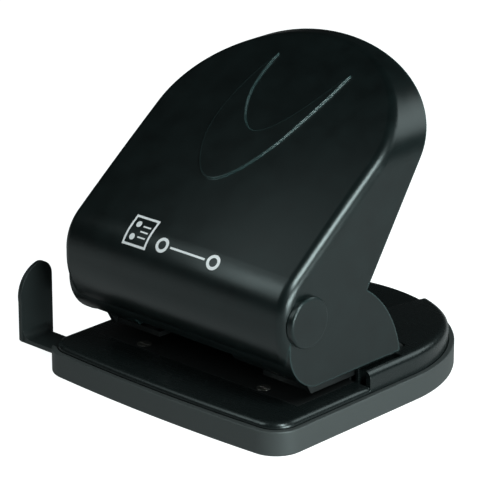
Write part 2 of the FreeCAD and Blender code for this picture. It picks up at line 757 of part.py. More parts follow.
def side_prism():
    """The handle's side view without its front: skirt, bulge, waist, back edge and the toe's bend."""
    toe = lying(pivot_y + skirt_toe, skirt_bottom)
    heel = lying(pivot_y + skirt_heel, skirt_bottom)
    waist = lying(*from_pivot(skirt_waist))
    top_y, top_z = from_pivot(face_top)
    back_top = waist + (lying(top_y + rim_depth, top_z) - waist) * 1.3
    tuck = lying(*from_pivot(panel_tuck))
    ahead = V(0, -2 * tray_front, 0)
    face = Part.Face(Part.Wire([
        line(toe, heel), arc(heel, lying(*from_pivot(skirt_bulge)), waist), line(waist, back_top),
        line(back_top, ahead + Z * back_top.z), line(ahead + Z * back_top.z, ahead + Z * tuck.z),
        line(ahead + Z * tuck.z, tuck), arc(tuck, lying(*from_pivot(toe_bend)), toe)]))
    face.translate(X * -tray_width / 2)
    return face.extrude(X * tray_width)


def arch_prism(inset):
    """The front view of the handle: straight sides under a half-oval top."""
    half = handle_half_width - inset
    rise = arch_height - inset
    low = V(half, -tray_width, -10)
    side = V(half, -tray_width, arch_centre_z)
    oval = Part.Ellipse(V(0, -tray_width, arch_centre_z), max(half, rise), min(half, rise))
    top = Part.ArcOfEllipse(oval, 0, math.pi)
    top.rotate(FreeCAD.Placement(V(0, -tray_width, arch_centre_z), FreeCAD.Rotation(X, 90)))
    flip = lambda p: V(-p.x, p.y, p.z)
    wire = Part.Wire([line(low, side), top.toShape(), line(flip(side), flip(low)), line(flip(low), low)])
    return Part.Face(wire).extrude(Y * (3 * tray_width))


def handle_blank():
    """The solid outer form, with its long edges rounded."""
    blank = crowned_front(0).common(side_prism()).common(arch_prism(0)).removeSplitter()
    return blank.makeFillet(side_edge_r, long_edges(blank))


def long_edges(blank):
    """The edges where the face, nose and front panel meet the sides and the arch."""
    cy, cz, radius = face_circle()
    low_y, low_z = from_pivot(face_low)
    tuck_y, tuck_z = from_pivot(panel_tuck)

    def on_front(p):
        on_face = -0.5 < math.hypot(p.y - cy, p.z - cz) - radius < 1.1 * face_crown and p.z > low_z
        on_side = abs(p.x) > handle_half_width - 0.1
        return on_face or (on_side and p.y < low_y + 1 and p.z > tuck_z - 0.5)

    def on_rim(edge):
        points = [edge.valueAt(edge.FirstParameter + (edge.LastParameter - edge.FirstParameter) * t)
                  for t in (0.02, 0.25, 0.5, 0.75, 0.98)]
        level = abs(edge.BoundBox.YLength) < 0.01
        across = edge.BoundBox.XLength > handle_half_width and edge.BoundBox.ZMax < arch_centre_z
        return all(on_front(p) for p in points) and not across and not level
    return edges_where(blank, on_rim)


def inner_form():
    """The hollow: the outer form less its wall, open at the bottom and at the back."""
    slab = box(-skirt_inner, skirt_inner, -2 * tray_front, 3 * tray_width, -10, 3 * tray_width)
    form = crowned_front(shell_wall).common(slab).common(arch_prism(shell_wall))
    tuck_y, tuck_z = from_pivot(panel_tuck)
    toe = (pivot_y + skirt_toe, skirt_bottom)
    toe_y, toe_z, toe_r = circle_through((tuck_y, tuck_z), from_pivot(toe_bend), toe)
    bend = box(-skirt_inner, skirt_inner, -2 * tray_front, toe_y, -10, tuck_z)
    wall_side = V(-skirt_inner, toe_y, toe_z)
    form = form.cut(bend.cut(Part.makeCylinder(toe_r - shell_wall, 2 * skirt_inner, wall_side, X)))
    below = box(-skirt_inner, skirt_inner, -2 * tray_front, toe_y, -10, panel_bottom)
    notch = box(-panel_notch_half, panel_notch_half, -2 * tray_front, toe_y, -10, panel_bottom + panel_notch)
    return form.fuse([below, notch])


def crescent():
    """The crescent that stands proud of the face."""
    low, top = from_pivot(face_low), from_pivot(face_top)
    slope = math.atan2(top[1] - low[1], top[0] - low[0])
    up = V(0, math.cos(slope), math.sin(slope))
    out = V(0, -math.sin(slope), math.cos(slope))
    start = lying(*from_pivot(crescent_start))
    sides = []
    for places in (crescent_outside, crescent_inside):
        curve = Part.BSplineCurve()
        curve.interpolate([start + X * x + up * s + out * front_overrun for x, s in places])
        sides.append(curve.toShape())
    pad = Part.Face(Part.Wire(sides)).extrude(out * -2 * front_overrun)
    return pad.common(crowned_front(-crescent_rise)).cut(crowned_front(shell_wall / 2))


def handle_shell():
    shell = handle_blank().cut(inner_form())
    start, up, out, length = web_frame()
    for point in web_screw_points():
        boss = rod(boss_r, point, point + out * (web_from_face + shell_wall))
        shell = shell.fuse(boss.common(handle_blank()))
        screw_tip = point + out * (web_from_face - shell_wall - screw_tip_gap)
        shell = shell.cut(rod(screw_r, point - out, screw_tip))
    shell = shell.fuse(crescent())
    pivot = lying(pivot_y, pivot_height)
    inner_boss = frame_half_width + face_gap
    for side in (-1, 1):
        root = pivot + X * side * (skirt_inner + boss_root)
        shell = shell.fuse(rod(shaft_r + pivot_boss_wall, pivot + X * side * inner_boss, root))
        shell = shell.cut(rod(shaft_r + running_gap, pivot + X * side * (inner_boss - 1),
                              pivot + X * side * handle_half_width))
        shell = shell.cut(rod(cap_spigot_r, pivot + X * side * (handle_half_width - cap_spigot),
                              pivot + X * side * (handle_half_width + 1)))
    return shell.removeSplitter()


def pivot_cap():
    """The round cover over the right end of the shaft."""
    pivot = lying(pivot_y, pivot_height, handle_half_width)
    disc = rod(cap_r, pivot, pivot + X * cap_thickness)
    rim = edges_where(disc, lambda e: abs(e.BoundBox.XMin - handle_half_width - cap_thickness) < 0.01)
    disc = disc.makeFillet(cap_edge_r, rim)
    return disc.fuse(rod(cap_spigot_r, pivot - X * cap_spigot, pivot)).removeSplitter()


def pivot_plug():
    """The nearly flush plug over the left end of the shaft."""
    pivot = lying(pivot_y, pivot_height, -handle_half_width)
    plug = rod(cap_spigot_r, pivot - X * plug_proud, pivot + X * cap_spigot)
    rim = edges_where(plug, lambda e: abs(e.BoundBox.XMax + handle_half_width + plug_proud) < 0.01)
    return plug.makeFillet(plug_edge_r, rim)


def paper_guide():
    """The sliding strip and the upright plate that the sheet's side rests against."""
    outer = guide_inner_face - guide_plate
    strip = box(outer, guide_strip_end, guide_strip_front, guide_strip_rear, guide_strip_z, guide_strip_top)
    front, rear, low = guide_stop_front, guide_stop_rear, guide_strip_z
    top = low + guide_stop_height
    leg = 1 - math.sqrt(0.5)

    def at(y, z):
        return V(outer, y, z)

    crest = front + guide_stop_width - guide_stop_rear_r
    front_rise = crest - front
    rear_bend, front_bend = guide_stop_rear_r * leg, guide_stop_front_r * leg
    foot_bend = guide_foot_r * leg
    outline = Part.Wire([
        line(at(front + guide_foot_r, low), at(rear, low)),
        line(at(rear, low), at(rear, top - guide_stop_rear_r)),
        arc(at(rear, top - guide_stop_rear_r), at(rear - rear_bend, top - rear_bend), at(crest, top)),
        arc(at(crest, top),
            at(front + front_rise * leg * guide_crest[0], top - front_bend * guide_crest[1]),
            at(front, top - guide_stop_front_r)),
        line(at(front, top - guide_stop_front_r), at(front, low + guide_foot_r)),
        arc(at(front, low + guide_foot_r), at(front + foot_bend, low + foot_bend),
            at(front + guide_foot_r, low))])
    stop = Part.Face(outline).extrude(X * guide_plate)
    bend_x, bend_z = guide_inner_face + guide_fillet_r, guide_strip_top + guide_fillet_r
    bend = box(guide_inner_face, bend_x, guide_strip_front, guide_strip_rear, guide_strip_top, bend_z)
    bend_start = V(bend_x, guide_strip_front, bend_z)
    bend = bend.cut(rod(guide_fillet_r, bend_start, bend_start + Y * guide_strip_width))
    guide = strip.fuse([stop, bend])
    for step in range(notch_count):
        x = first_notch_x - step * notch_pitch
        axis_z = guide_strip_z - notch_r + notch_depth
        guide = guide.cut(rod(notch_r, V(x, guide_middle - notch_half_length, axis_z),
                              V(x, guide_middle + notch_half_length, axis_z)))
    return guide.removeSplitter()


def guide_detent_spring():
    """A leaf spring under the strip that clicks into its notches."""
    top = guide_strip_z - guide_gap
    x0 = first_notch_x - notch_pitch
    flat = box(x0 - spring_half_length, x0 + spring_half_length, guide_middle - spring_half_width,
               guide_middle + spring_half_width, top - spring_strip, top)
    ends = box(x0 - spring_half_length, x0 - spring_half_length + spring_foot,
               guide_strip_front + rail_width - rail_side, guide_strip_rear - rail_width + rail_side,
               top - spring_strip, top)
    return flat.fuse(ends).removeSplitter()


def build():
    """Every node by name: one solid, or a list of equal solids for a group of fasteners."""
    return {
        "chip_tray": chip_tray(),
        "base_cover": base_cover(),
        "die_plate": die_plate(),
        "frame_side_right": frame_side(),
        "frame_side_left": mirrored(frame_side()),
        "pin_guide": pin_guide(),
        "pivot_shaft": pivot_shaft(),
        "shaft_clips": shaft_clips(),
        "frame_screws": frame_screws(),
        "die_plate_screws": die_plate_screws(),
        "guide_detent_spring": guide_detent_spring(),
        "paper_guide": paper_guide(),
        "handle_shell": handle_shell(),
        "lever_bracket": lever_bracket(),
        "press_bar": press_bar(),
        "lever_screws": lever_screws(),
        "pivot_cap_right": pivot_cap(),
        "pivot_plug_left": pivot_plug(),
        "punch_pin_left": punch_pin(-pin_x),
        "punch_pin_right": punch_pin(pin_x),
        "pin_clip_left": pin_clip(-pin_x),
        "pin_clip_right": pin_clip(pin_x),
        "return_spring_left": return_spring(-pin_x),
        "return_spring_right": return_spring(pin_x),
    }


def main():
    os.makedirs("parts", exist_ok=True)
    for name, shape in build().items():
        solids = shape if isinstance(shape, list) else [shape]
        bodies = [solid for item in solids for solid in item.Solids]
        node = bodies[0] if len(bodies) == 1 else Part.makeCompound(bodies)
        print(f"{name:22s} solids {len(bodies)} volume {node.Volume:10.1f} valid {node.isValid()}")
        node.exportStep(f"parts/{name}.step")
    print(f"pivot at y {pivot_y:.3f}, z {pivot_height:.3f}, spring seat z {guide_top:.3f}")
    stroke = 2 * lever_arm * math.sin(half_stroke)
    print(f"pin stroke {stroke:.3f}, ratio {stroke / (2 * half_stroke) / 1000:.6f} m per rad")


main()
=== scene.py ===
# %% [markdown]
# # A two-hole desk punch
#
# This lesson dresses a finished mechanical model. Its shells, levers, pins and screws arrive as exact
# meshes that already stand in the right place, so we don't reshape them. We give every piece a finish
# that behaves like the real material, remake the two springs as true coils, print a small pictogram
# on the nose, mark the paper guide, and light it all like a catalogue shot.
#
# Lengths are in metres. +X is right, +Y is back and +Z is up, and the punch stands on the floor z = 0.

# %% Load the mechanical model
import json
import math

import bmesh
import bpy
from mathutils import Matrix, Vector
from mathutils.bvhtree import BVHTree

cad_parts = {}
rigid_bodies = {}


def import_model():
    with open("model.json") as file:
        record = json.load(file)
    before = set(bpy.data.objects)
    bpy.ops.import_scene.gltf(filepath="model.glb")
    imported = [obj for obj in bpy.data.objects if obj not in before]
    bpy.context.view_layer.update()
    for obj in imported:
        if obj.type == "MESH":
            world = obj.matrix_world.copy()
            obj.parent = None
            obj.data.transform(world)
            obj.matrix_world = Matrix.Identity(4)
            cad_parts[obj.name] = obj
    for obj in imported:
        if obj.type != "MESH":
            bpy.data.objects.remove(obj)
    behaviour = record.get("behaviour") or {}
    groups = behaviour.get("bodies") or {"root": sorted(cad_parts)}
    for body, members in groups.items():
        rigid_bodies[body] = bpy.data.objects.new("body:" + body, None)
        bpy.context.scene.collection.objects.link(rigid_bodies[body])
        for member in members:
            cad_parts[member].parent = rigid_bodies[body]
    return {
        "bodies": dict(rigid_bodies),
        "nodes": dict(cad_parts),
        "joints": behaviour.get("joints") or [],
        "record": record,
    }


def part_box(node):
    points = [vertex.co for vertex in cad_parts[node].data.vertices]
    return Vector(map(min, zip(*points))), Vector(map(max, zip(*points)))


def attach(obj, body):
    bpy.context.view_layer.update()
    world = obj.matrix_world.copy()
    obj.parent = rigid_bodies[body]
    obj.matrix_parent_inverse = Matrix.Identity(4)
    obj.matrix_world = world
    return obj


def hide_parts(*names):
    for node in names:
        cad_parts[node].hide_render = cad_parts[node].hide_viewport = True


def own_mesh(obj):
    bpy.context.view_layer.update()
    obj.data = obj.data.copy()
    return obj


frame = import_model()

MM = 0.001
scene = bpy.context.scene
frame_objects = set(frame["nodes"].values()) | set(frame["bodies"].values())
for leftover in [o for o in scene.objects if o not in frame_objects]:
    bpy.data.objects.remove(leftover, do_unlink=True)
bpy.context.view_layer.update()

# %% [markdown]
# ## The camera
#
# A product picture is usually taken from well back with a long lens, which keeps upright edges
# parallel. We could drag a camera about by hand, but three angles say the same thing and are easy to
# change: how far round the object it stands, how high, and how far away. The lens then sets the crop.

# %% Place the camera
CAMERA_ROUND = math.radians(43.24)
CAMERA_UP = math.radians(20.40)
CAMERA_DISTANCE = 1.1279
CAMERA_LENS = 227.18
CAMERA_SENSOR = 36.0
CAMERA_NEAREST, CAMERA_FARTHEST = 0.05, 20.0
LOOK_AT = Vector((-20.14, 0.0, 43.81)) * MM


def direction(around, up):
    """The way from the object to a point seen at two angles: around from the front, up from the floor."""
    return Vector((math.sin(around) * math.cos(up), -math.cos(around) * math.cos(up), math.sin(up)))


camera = bpy.data.objects.new("camera", bpy.data.cameras.new("camera"))
scene.collection.objects.link(camera)
camera.data.lens = CAMERA_LENS
camera.data.sensor_width = CAMERA_SENSOR
camera.data.clip_start, camera.data.clip_end = CAMERA_NEAREST, CAMERA_FARTHEST
to_camera = direction(CAMERA_ROUND, CAMERA_UP)
camera.location = LOOK_AT + to_camera * CAMERA_DISTANCE
camera.rotation_mode = "QUATERNION"
camera.rotation_quaternion = (-to_camera).to_track_quat("-Z", "Y")
scene.camera = camera
print("camera stands at", [round(v, 3) for v in camera.location])

# %% [markdown]
# ## Light for black plastic
#
# Black plastic has almost no colour of its own: nearly all that we see of it is reflection. So a light
# is placed by asking which way each surface bounces the view.
#
# - The long rounded edge between face and side mirrors a point high on the right. The key panel hangs
#   there and draws the bright line.
# - The round of the nose mirrors a point in front, a little to the left. A small dim panel hangs there.
# - The top panel fills in softly from above, in front and to the left.
# - The side panel is low and wide on the right. It lights the right side and the rim of the chip tray.
# - The back panel gives the rear a soft edge, for when we walk round the punch.
#
# The flat face mirrors a high place far round on the left, and the paper table mirrors a low place
# behind. Nothing hangs in either, which keeps both deep black.

# %% Hang the light panels
PANEL_TINT = (0.90, 1.0, 1.0)


def light_panel(name, aim, around, up, distance, wide, tall, power):
    """A soft rectangular lamp, cool white, that hangs at two angles from the point it aims at."""
    lamp = bpy.data.lights.new(name, "AREA")
    lamp.shape = "RECTANGLE"
    lamp.size, lamp.size_y = wide, tall
    lamp.energy = power
    lamp.color = PANEL_TINT
    panel = bpy.data.objects.new(name, lamp)
    scene.collection.objects.link(panel)
    away = direction(math.radians(around), math.radians(up))
    panel.location = Vector(aim) * MM + away * distance
    panel.rotation_mode = "QUATERNION"
    panel.rotation_quaternion = (-away).to_track_quat("-Z", "Y")
    return panel


# name, what it aims at in mm, degrees around and up, distance, width and height in m, power in W
PANELS = [
    ("key_panel", (55, -45, 66), 80, 45, 0.60, 0.16, 0.24, 3.2),
    ("nose_panel", (75, -50, 66), -38, 31, 0.34, 0.10, 0.16, 0.14),
    ("top_panel", (0, 0, 90), -40, 46, 0.9, 0.5, 0.5, 0.9),
    ("side_panel", (60, 0, 6), 84, 7, 0.8, 0.50, 0.12, 6.0),
    ("back_panel", (0, 30, 40), 150, 34, 0.9, 0.50, 0.40, 1.6),
]
for panel in PANELS:
    light_panel(*panel)

# %% [markdown]
# ## One small language for node trees
#
# Materials and geometry trees are both graphs. Written as calls for every node they are long and hard
# to read, so we wrap an output in a class that knows arithmetic: `rough + 0.1 * speckle` adds the Math
# nodes by itself. Every other node comes from one method, which sets the node's own settings first and
# then its sockets, because a setting can change which sockets exist.

# %% Arithmetic on sockets
class Wire:
    """The output of a node. Adding, multiplying and so on makes Math nodes in the same tree."""

    def __init__(self, tree, socket):
        self.tree = tree
        self.socket = socket

    def maths(self, operation, first, second=0.0):
        return self.tree.node("ShaderNodeMath", {"operation": operation}, {0: first, 1: second})

    def __add__(self, other):
        return self.maths("ADD", self, other)

    def __radd__(self, other):
        return self.maths("ADD", other, self)

    def __sub__(self, other):
        return self.maths("SUBTRACT", self, other)

    def __rsub__(self, other):
        return self.maths("SUBTRACT", other, self)

    def __mul__(self, other):
        return self.maths("MULTIPLY", self, other)

    def __rmul__(self, other):
        return self.maths("MULTIPLY", other, self)

    def __truediv__(self, other):
        return self.maths("DIVIDE", self, other)

    def at_most(self, other):
        return self.maths("MINIMUM", self, other)

    def at_least(self, other):
        return self.maths("MAXIMUM", self, other)

    def sine(self):
        return self.maths("SINE", self)

    def cosine(self):
        return self.maths("COSINE", self)


class Tree:
    """A node tree that is written one line at a time."""

    def __init__(self, node_tree):
        self.nodes = node_tree.nodes
        self.links = node_tree.links

    def node(self, kind, settings=None, sockets=None, out=0):
        made = self.nodes.new(kind)
        for name, value in (settings or {}).items():
            if name == "stops":
                self.set_stops(made.color_ramp, value)
            else:
                setattr(made, name, value)
        for key, value in (sockets or {}).items():
            if isinstance(value, Wire):
                self.links.new(value.socket, made.inputs[key])
            else:
                made.inputs[key].default_value = value
        return Wire(self, made.outputs[out]) if made.outputs else None

    @staticmethod
    def set_stops(ramp, stops):
        while len(ramp.elements) < len(stops):
            ramp.elements.new(0.5)
        for element, (place, grey) in zip(ramp.elements, stops):
            element.position = place
            element.color = (grey, grey, grey, 1.0)


print("ready to write trees")

# %% [markdown]
# ## The parts that every finish shares
#
# Moulded and rolled surfaces are never quite even. Four patterns do most of the work here: a fine grain
# from the mould, a slow waviness where the plastic shrank, short fine scratches from handling, and
# edges a little smoother and lighter than the rest. On most pieces the lighter edges are wear from
# hands; on the handle they are a painted highlight, made far lighter. All four read Object coordinates.
# The meshes were never moved or scaled, so these are true metres, and a pattern has the same size on
# every piece.

# %% Shared patterns
BEVEL_SAMPLES = 4
EDGE_MASK_CONTRAST = 5.0
NOISE_ROUGHNESS = 0.55


class Finish(Tree):
    """A material whose patterns are measured in metres on the object itself."""

    def __init__(self, name):
        self.material = bpy.data.materials.new(name)
        self.material.use_nodes = True
        super().__init__(self.material.node_tree)
        self.nodes.clear()
        self.place = self.node("ShaderNodeTexCoord", out=3)

    def stretched(self, x=1.0, y=1.0, z=1.0):
        """The object's coordinates, drawn out along the axes that get a small number."""
        return self.node("ShaderNodeMapping", {}, {"Vector": self.place, "Scale": (x, y, z)})

    def speckle(self, size, detail=2.0, place=None):
        """Soft noise from 0 to 1 whose blotches are about this long, in metres."""
        return self.node("ShaderNodeTexNoise", {}, {
            "Vector": place or self.place, "Scale": 1 / size, "Detail": detail,
            "Roughness": NOISE_ROUGHNESS})

    def only_peaks(self, pattern, low, high):
        """0 where the pattern is under low and 1 where it is over high."""
        return self.node("ShaderNodeValToRGB", {"stops": [(low, 0.0), (high, 1.0)]}, {0: pattern})

    def scratches(self, length, width):
        """Thin bright lines in two directions, as wiping with a dusty cloth leaves them."""
        runs = []
        for turn in (0.5, -0.9):
            turned = self.node("ShaderNodeMapping", {}, {
                "Vector": self.place, "Rotation": (turn, 0.4 * turn, turn),
                "Scale": (width / length, 1.0, 1.0)})
            lines = self.speckle(width, 1.0, turned)
            runs.append(self.only_peaks(lines, 0.66, 0.72))
        return runs[0].at_least(runs[1])

    def edge_mask(self, radius):
        """About 1 along edges and corners, 0 on open surface: how far a rounded normal turns."""
        rounded = self.soft_edges(radius)
        straight = self.node("ShaderNodeNewGeometry", out=1)
        agree = self.node("ShaderNodeVectorMath", {"operation": "DOT_PRODUCT"},
                          {0: rounded, 1: straight}, out=1)
        return ((1.0 - agree) * EDGE_MASK_CONTRAST).at_most(1.0)

    def tint(self, amount, plain, other):
        """A colour that goes from plain to other as amount goes from 0 to 1."""
        return self.node("ShaderNodeMix", {"data_type": "RGBA"},
                         {0: amount, 6: (*plain, 1.0), 7: (*other, 1.0)}, out=2)

    def relief(self, height, depth, under=None):
        """The normal of a surface with this relief, laid over softly rounded edges or another relief."""
        sockets = {"Height": height, "Distance": depth, "Strength": 1.0}
        if under is not None:
            sockets["Normal"] = under
        return self.node("ShaderNodeBump", {}, sockets)

    def soft_edges(self, radius):
        """Normals that lean over at a sharp edge, as on a real moulding or a tumbled pressing."""
        return self.node("ShaderNodeBevel", {"samples": BEVEL_SAMPLES}, {"Radius": radius})

    def finish(self, **sockets):
        """The surface shader; names use _ for a space, and anything left out keeps its usual value."""
        named = {key.replace("_", " "): value for key, value in sockets.items()}
        shader = self.node("ShaderNodeBsdfPrincipled", {}, named)
        self.node("ShaderNodeOutputMaterial", {}, {"Surface": shader})
        return self.material


print("patterns ready")

# %% [markdown]
# ## Moulded plastics
#
# The handle and guide are satin ABS from a mould with a fine eroded texture. The base cover came from
# a polished mould, so it is glossy and shows wiping marks. The chip tray is a softer grade with a
# coarser grain, so it looks grey beside the others. They are one recipe with different amounts: a base
# colour, a roughness that varies by blotches, grain, specks of dust, and lighter edges, which are wear
# from hands on most pieces. The handle's edges are a painted highlight, made lightest of all, so the
# thin rim of the raised crescent can be seen on the face.

# %% The plastic recipe
BLOTCH, WAVE, DUST = 9 * MM, 26 * MM, 0.5 * MM
HIGHLIGHT_AND_WEAR_WIDTH = 0.9 * MM
SCRATCH_LENGTH, SCRATCH_WIDTH = 14 * MM, 0.25 * MM
PLASTIC_IOR = 1.5
COOL_SHEEN = (0.88, 1.0, 1.0, 1.0)


def plastic(name, colour, roughness, grain, grain_depth, wave_depth=0.0, scratch=0.0, spread=0.05,
            edge=0.3, edge_radius=0.35 * MM, highlight_and_wear_factor=1.7):
    """Moulded plastic or paint; the last argument says how many times lighter its edges are: wear on most
    pieces, and on the handle a painted highlight.
    """
    look = Finish(name)
    blotches = look.speckle(BLOTCH, 3.0)
    fine = look.speckle(grain, 2.0)
    edge_amount = look.edge_mask(HIGHLIGHT_AND_WEAR_WIDTH)
    marks = look.scratches(SCRATCH_LENGTH, SCRATCH_WIDTH) * scratch
    uneven = spread * (blotches - 0.5) + 0.25 * spread * (fine - 0.5)
    rough = roughness + uneven + marks - 0.2 * roughness * edge_amount
    # Edges, specks and blotches lean towards a lighter colour. At the edges this is wear on most pieces,
    # and on the handle, with its large factor, a painted highlight.
    lighter_wear_dust_and_highlight = tuple(highlight_and_wear_factor * c + 0.004 for c in colour)
    speck = look.only_peaks(look.speckle(DUST, 4.0), 0.70, 0.76)
    shade = look.tint((edge * edge_amount + 0.10 * blotches + 0.25 * speck).at_most(1.0), colour, lighter_wear_dust_and_highlight)
    surface = look.relief(look.speckle(WAVE, 1.0), wave_depth, look.soft_edges(edge_radius))
    surface = look.relief(fine, grain_depth, surface)
    return look.finish(Base_Color=shade, Roughness=rough, Normal=surface, IOR=PLASTIC_IOR,
                       Specular_Tint=COOL_SHEEN)


# The handle's edges are painted 44 times lighter at full weight: a painted highlight along every edge and
# round the crescent's rim.
handle_plastic = plastic("satin_black_abs", (0.0008, 0.0016, 0.0016), 0.30, 0.30 * MM, 0.006 * MM,
                         wave_depth=0.02 * MM, scratch=0.02, edge=1.0, edge_radius=0.7 * MM, highlight_and_wear_factor=44.0)
cover_plastic = plastic("polished_black_abs", (0.0050, 0.0072, 0.0072), 0.27, 0.45 * MM, 0.002 * MM,
                        wave_depth=0.03 * MM, scratch=0.10, spread=0.06)
tray_plastic = plastic("matte_grey_polymer", (0.036, 0.0405, 0.040), 0.50, 0.42 * MM, 0.020 * MM,
                       wave_depth=0.04 * MM, edge=0.6)
guide_plastic = plastic("satin_black_guide", (0.011, 0.0145, 0.0145), 0.42, 0.30 * MM, 0.008 * MM,
                        wave_depth=0.04 * MM, scratch=0.04)
print("plastics:", [m.name for m in (handle_plastic, cover_plastic, tray_plastic, guide_plastic)])

# %% [markdown]
# ## Steels
#
# The lever bracket is pressed from sheet and zinc plated: rolling leaves long streaks, and plating
# leaves cloudy, faintly blue patches. Pins, shaft and press bar are ground and brighter. Spring wire
# is drawn and darker, and the screws are plated a little yellow. One recipe serves all of them. The
# streaks are noise that is stretched along one axis.
#
# The frame sides, pin guide and die plate are coated black, so they take the plastic recipe with a
# fine grain.

# %% The steel recipe
STREAK, CLOUD = 0.18 * MM, 7 * MM
STREAK_SQUEEZE = 0.04
STREAK_DEPTH = 0.004 * MM
STEEL_WORN_WIDTH = 0.4 * MM
STEEL_EDGE_RADIUS = 0.15 * MM


def steel(name, colour, roughness, streak_along, cloud=0.25, streak=0.12, tinge=(0.50, 0.52, 0.60)):
    """Bare or plated steel, with streaks along one axis and clouds of another tinge."""
    look = Finish(name)
    squeeze = {axis: STREAK_SQUEEZE if axis == streak_along else 1.0 for axis in "xyz"}
    streaks = look.speckle(STREAK, 3.0, look.stretched(**squeeze))
    clouds = look.speckle(CLOUD, 4.0)
    edge_amount = look.edge_mask(STEEL_WORN_WIDTH)
    rough = roughness + streak * (streaks - 0.5) + 0.5 * cloud * (clouds - 0.5) - 0.06 * edge_amount
    shade = look.tint((cloud * clouds + 0.3 * streaks * cloud).at_most(1.0), colour, tinge)
    surface = look.relief(streaks, STREAK_DEPTH, look.soft_edges(STEEL_EDGE_RADIUS))
    return look.finish(Base_Color=shade, Roughness=rough, Normal=surface, Metallic=1.0)


zinc_steel = steel("zinc_plated_sheet", (0.62, 0.63, 0.64), 0.34, "x", cloud=0.45)
ground_steel = steel("ground_bar", (0.66, 0.66, 0.66), 0.22, "z", cloud=0.15, streak=0.16)
wire_steel = steel("drawn_wire", (0.36, 0.36, 0.37), 0.30, "z", cloud=0.30)
screw_steel = steel("plated_screws", (0.55, 0.55, 0.54), 0.30, "y", cloud=0.40, tinge=(0.52, 0.50, 0.40))
coated_steel = plastic("black_coated_steel", (0.0070, 0.0078, 0.0078), 0.42, 0.16 * MM, 0.004 * MM,
                       edge=0.5)
print("steels:", [m.name for m in (coated_steel, zinc_steel, ground_steel, wire_steel, screw_steel)])

# %% [markdown]
# ## Give each mechanical piece its finish
#
# Every piece names the kind of material that it is made of, so one table from kind to finish is enough.
# Only the material in the piece's slot changes, never its mesh.

# %% Assign the finishes
FINISH_OF = {
    "tray_plastic": tray_plastic,
    "cover_plastic": cover_plastic,
    "handle_plastic": handle_plastic,
    "guide_plastic": guide_plastic,
    "zinc_plated_steel": zinc_steel,
    "black_coated_steel": coated_steel,
    "ground_steel": ground_steel,
    "spring_steel": wire_steel,
    "screw_steel": screw_steel,
}
for subpart in frame["record"]["subparts"]:
    piece = frame["nodes"][subpart["node"]]
    for piece_slot in piece.material_slots:
        piece_slot.material = FINISH_OF[subpart["material_slot"]]

# %% [markdown]
# ## Return springs
#
# A compression spring is wire wound round a mandrel, and its first and last turns lie shut so that it
# stands square. That is a rule, not a drawing: the angle grows evenly along the wire, while the height
# grows by one wire thickness in each end turn and quickly in between. So a geometry tree fits well. It
# takes a straight line of points, moves each by the rule, and sweeps a round wire along it.

# %% A tree that winds a spring
WIRE_POINTS_PER_TURN = 36
WIRE_SIDES = 12


def new_geometry_tree(name, sizes):
    """An empty geometry tree with one named number input for each size."""
    group = bpy.data.node_groups.new(name, "GeometryNodeTree")
    group.interface.new_socket("Geometry", in_out="OUTPUT", socket_type="NodeSocketGeometry")
    for size in sizes:
        group.interface.new_socket(size, in_out="INPUT", socket_type="NodeSocketFloat")
    tree = Tree(group)
    entry = tree.nodes.new("NodeGroupInput")
    exit_node = tree.nodes.new("NodeGroupOutput")
    return group, tree, {size: Wire(tree, entry.outputs[size]) for size in sizes}, exit_node


def plain_mesh(name, group, sizes):
    """Runs a geometry tree with these sizes and keeps the result as a plain mesh object."""
    carrier = bpy.data.objects.new(name + "_carrier", bpy.data.meshes.new(name + "_carrier"))
    scene.collection.objects.link(carrier)
    modifier = carrier.modifiers.new("make", "NODES")
    modifier.node_group = group
    identifiers = {item.name: item.identifier for item in group.interface.items_tree
                   if item.in_out == "INPUT"}
    for size, value in sizes.items():
        modifier[identifiers[size]] = value
    evaluated = carrier.evaluated_get(bpy.context.evaluated_depsgraph_get())
    mesh = bpy.data.meshes.new_from_object(evaluated)
    mesh.name = name
    bpy.data.objects.remove(carrier, do_unlink=True)
    made = bpy.data.objects.new(name, mesh)
    scene.collection.objects.link(made)
    return made


print("ready to wind and to repeat")

# %% The winding rule
def spring_tree():
    sizes = ["Coil Radius", "Wire Radius", "Height", "Turns"]
    group, tree, size, exit_node = new_geometry_tree("wind_spring", sizes)
    count = size["Turns"] * WIRE_POINTS_PER_TURN
    start = tree.node("GeometryNodeCurvePrimitiveLine", {}, {"End": (0.0, 0.0, 1.0)})
    points = tree.node("GeometryNodeResampleCurve", {}, {"Curve": start, "Count": count})
    along = tree.node("GeometryNodeSplineParameter", {}, {}, out=0)
    turned = along * size["Turns"]
    angle = turned * (2 * math.pi)
    thickness = 2.0 * size["Wire Radius"]
    shut_low = turned.at_most(1.0)
    shut_high = (turned - (size["Turns"] - 1.0)).at_least(0.0)
    open_share = turned - shut_low - shut_high
    free_height = size["Height"] - 3.0 * thickness
    pitch = free_height / (size["Turns"] - 2.0)
    height = size["Wire Radius"] + (shut_low + shut_high) * thickness + open_share * pitch
    place = tree.node("ShaderNodeCombineXYZ", {}, {
        0: angle.cosine() * size["Coil Radius"], 1: angle.sine() * size["Coil Radius"], 2: height})
    wound = tree.node("GeometryNodeSetPosition", {}, {"Geometry": points, "Position": place})
    section = tree.node("GeometryNodeCurvePrimitiveCircle", {},
                        {"Resolution": WIRE_SIDES, "Radius": size["Wire Radius"]})
    wire = tree.node("GeometryNodeCurveToMesh", {},
                     {"Curve": wound, "Profile Curve": section, "Fill Caps": True})
    smooth = tree.node("GeometryNodeSetShadeSmooth", {}, {0: wire})
    done = tree.node("GeometryNodeSetMaterial", {}, {"Geometry": smooth, "Material": wire_steel})
    tree.links.new(done.socket, exit_node.inputs[0])
    return group


winding = spring_tree()
print("spring tree has", len(winding.nodes), "nodes")
